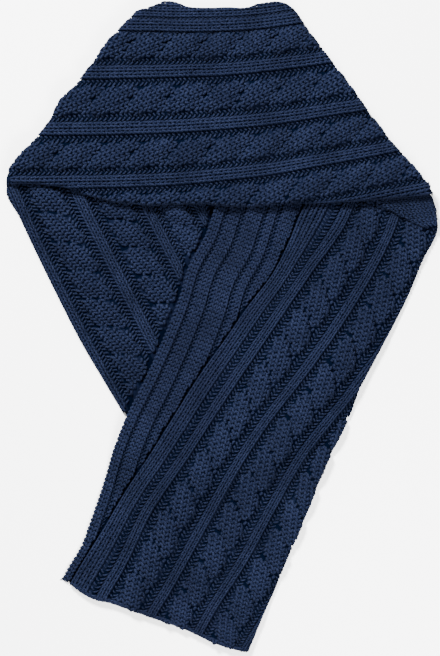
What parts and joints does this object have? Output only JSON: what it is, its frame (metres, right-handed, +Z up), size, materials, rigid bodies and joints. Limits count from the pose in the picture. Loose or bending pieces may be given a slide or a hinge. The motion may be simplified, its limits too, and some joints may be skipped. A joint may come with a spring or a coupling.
{
  "type": "cable-knit scarf",
  "caption": "Navy cable-knit scarf, folded in half lengthwise and laid flat as round a neck, with its two tails crossing below the neck band.",
  "frame": {"origin": "centre of the laid-out scarf in plan, on the surface that it lies on", "axes": "+Y from the tails towards the neck band, +X towards the right tail's side, +Z up from the surface"},
  "size_m": [0.4984, 0.7485, 0.0245],
  "materials": {
    "knit": "matte knit yarn"
  },
  "bodies": {
    "root": {"neck_band": "knit", "left_tail": "knit", "right_tail": "knit", "right_tail_under_layer": "knit", "corner_tuck": "knit", "hidden_layers": "knit"}
  },
  "joints": []
}
